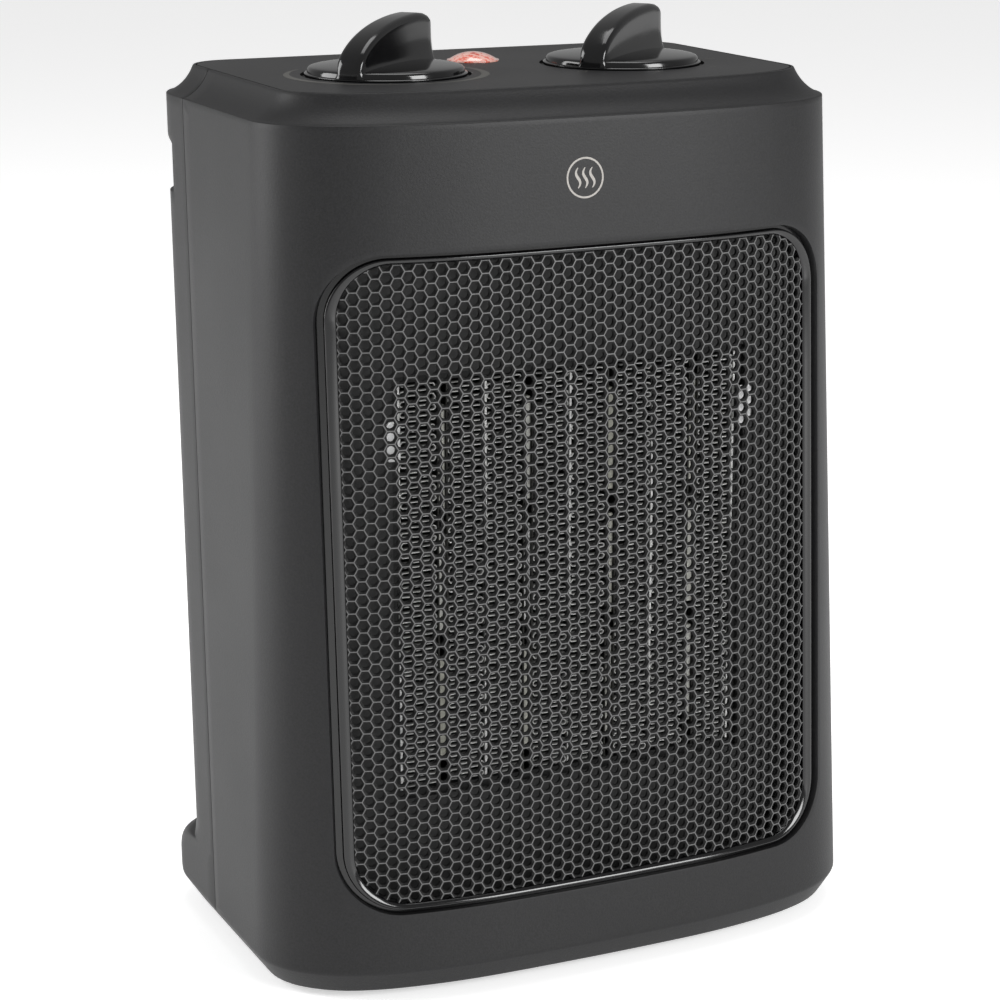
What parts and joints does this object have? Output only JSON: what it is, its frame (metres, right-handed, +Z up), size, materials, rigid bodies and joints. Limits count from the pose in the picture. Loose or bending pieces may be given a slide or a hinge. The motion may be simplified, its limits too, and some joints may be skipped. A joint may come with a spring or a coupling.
{
  "type": "ceramic space heater",
  "caption": "Compact table-top ceramic fan heater with a leaning charcoal casing, a curved honeycomb guard in front, two upright-grip knobs on top and an indicator lens.",
  "frame": {"origin": "middle of the overall box, at the underside of the rubber feet", "axes": "+Z up, the honeycomb guard faces -Y, +X to the right seen from the front"},
  "size_m": [0.183, 0.127, 0.2627],
  "materials": {
    "charcoal_abs": "fine moulded texture",
    "gloss_black_abs": "polished moulding",
    "grille_steel": "black powder coat",
    "baffle_sheet": "satin black paint",
    "heatproof_moulding": "glass-filled moulding",
    "ptc_ceramic": "fired and metallised",
    "fin_aluminium": "rolled foil",
    "plated_steel": "zinc plated",
    "lamination_steel": "stamped laminations",
    "copper": "enamelled copper",
    "bearing_bronze": "sintered and oiled",
    "fan_nylon": "moulded nylon",
    "white_nylon": "moulded nylon",
    "phenolic": "phenolic moulding",
    "lens_amber": "clear tinted acrylic",
    "lamp_glass": "drawn glass",
    "rubber": "moulded rubber"
  },
  "bodies": {
    "casing": {"front_housing": "charcoal_abs", "rear_housing": "charcoal_abs", "base_plate": "charcoal_abs", "grille_bezel": "gloss_black_abs", "front_grille": "grille_steel", "inner_baffle": "baffle_sheet", "element_frame": "heatproof_moulding", "element_clips": "plated_steel", "ptc_stones": "ptc_ceramic", "electrode_strips": "fin_aluminium", "fin_packs": "fin_aluminium", "fin_plates": "fin_aluminium", "element_terminals": "plated_steel", "air_duct": "heatproof_moulding", "motor_strap": "plated_steel", "stator_core": "lamination_steel", "coil_bobbin": "white_nylon", "motor_coil": "copper", "shading_rings": "copper", "front_bridge": "plated_steel", "rear_bridge": "plated_steel", "front_bearing": "bearing_bronze", "rear_bearing": "bearing_bronze", "motor_spacers": "plated_steel", "top_panel": "charcoal_abs", "thermostat_body": "phenolic", "mode_switch_body": "phenolic", "control_terminals": "plated_steel", "indicator_lens": "lens_amber", "neon_lamp": "lamp_glass", "lamp_holder": "white_nylon", "overheat_cutout": "plated_steel", "thermal_fuse": "plated_steel", "plunger_spring": "plated_steel", "switch_bracket": "plated_steel", "microswitch": "phenolic", "lever_pin": "plated_steel", "cord_gland": "gloss_black_abs", "terminal_block": "white_nylon", "rubber_feet": "rubber", "housing_screws": "plated_steel", "base_screws": "plated_steel", "baffle_screws": "baffle_sheet", "element_screws": "baffle_sheet", "strap_screws": "plated_steel", "motor_screws": "plated_steel", "control_screws": "plated_steel"},
    "fan": {"impeller": "fan_nylon", "motor_shaft": "plated_steel", "rotor": "lamination_steel"},
    "thermostat_dial": {"thermostat_knob": "gloss_black_abs", "thermostat_spindle": "plated_steel"},
    "mode_dial": {"mode_knob": "gloss_black_abs", "mode_spindle": "white_nylon"},
    "plunger": {"tip_plunger": "white_nylon"},
    "lever": {"switch_lever": "plated_steel"}
  },
  "joints": [
    {"name": "fan_spin", "type": "hinge", "parent": "casing", "child": "fan", "pos_m": [0, 0.005, 0.1115], "axis": [0, 1, 0], "continuous": true},
    {"name": "thermostat_turn", "type": "hinge", "parent": "casing", "child": "thermostat_dial", "pos_m": [-0.0363, 0.0015, 0.245], "axis": [0, 0, 1], "range_deg": [-260, 0]},
    {"name": "mode_turn", "type": "hinge", "parent": "casing", "child": "mode_dial", "pos_m": [0.0363, 0.0015, 0.245], "axis": [0, 0, 1], "range_deg": [-180, 0]},
    {"name": "plunger_drop", "type": "slide", "parent": "casing", "child": "plunger", "axis": [0, 0, 1], "range_m": [-0.004, 0], "stiffness_N_per_m": 60, "springref_m": -0.006, "deforming": ["plunger_spring"]},
    {"name": "lever_swing", "type": "hinge", "parent": "casing", "child": "lever", "pos_m": [-0.0065, -0.008, 0.01195], "axis": [0, 1, 0], "range_deg": [-14.9, 0]}
  ],
  "couplings": [
    {"joint": "lever_swing", "follows": "plunger_drop", "rad_per_m": 64.5}
  ]
}
